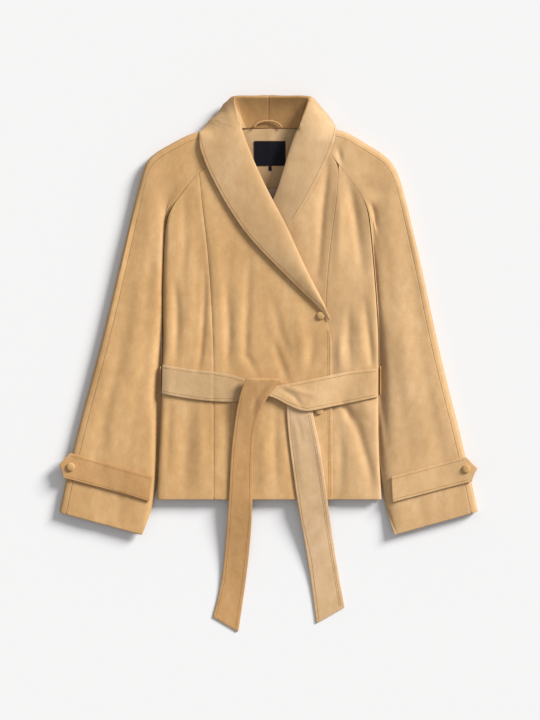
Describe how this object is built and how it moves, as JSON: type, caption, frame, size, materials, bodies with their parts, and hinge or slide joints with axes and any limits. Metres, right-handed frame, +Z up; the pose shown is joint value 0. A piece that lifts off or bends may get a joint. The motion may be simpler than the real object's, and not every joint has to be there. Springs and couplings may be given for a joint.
{
  "type": "short wrap trench coat",
  "caption": "Short suede wrap trench coat laid flat, with shawl collar, raglan sleeves, tied belt and buttoned cuff straps.",
  "frame": {"origin": "middle of the coat's length and width, on the surface it lies on", "axes": "+Z up from the surface, +Y towards the collar, +X towards the wearer's left"},
  "size_m": [0.7932, 1.0178, 0.0351],
  "materials": {
    "suede": "camel suede with a short mottled nap, edge-stitched",
    "covered_button": "button covered in the same camel suede",
    "label_cloth": "woven satin label, near black, bare",
    "lining_cloth": "smooth lining cloth, muted rose brown"
  },
  "bodies": {
    "root": {"back": "suede", "front_right_side": "suede", "front_right_centre": "suede", "front_left_side": "suede", "front_left_centre": "suede", "sleeve_right_front": "suede", "sleeve_right_back": "suede", "sleeve_left_front": "suede", "sleeve_left_back": "suede", "collar_right": "suede", "collar_left": "suede", "back_facing": "suede", "hanger_loop": "suede", "belt_run_right": "suede", "belt_run_left": "suede", "belt_back": "suede", "belt_end_right": "suede", "belt_end_left": "suede", "belt_knot": "suede", "strap_right": "suede", "strap_left": "suede", "button_front_upper": "covered_button", "button_front_lower": "covered_button", "button_cuff_right": "covered_button", "button_cuff_left": "covered_button", "label": "label_cloth", "size_tab": "label_cloth", "lining": "lining_cloth"}
  },
  "joints": []
}
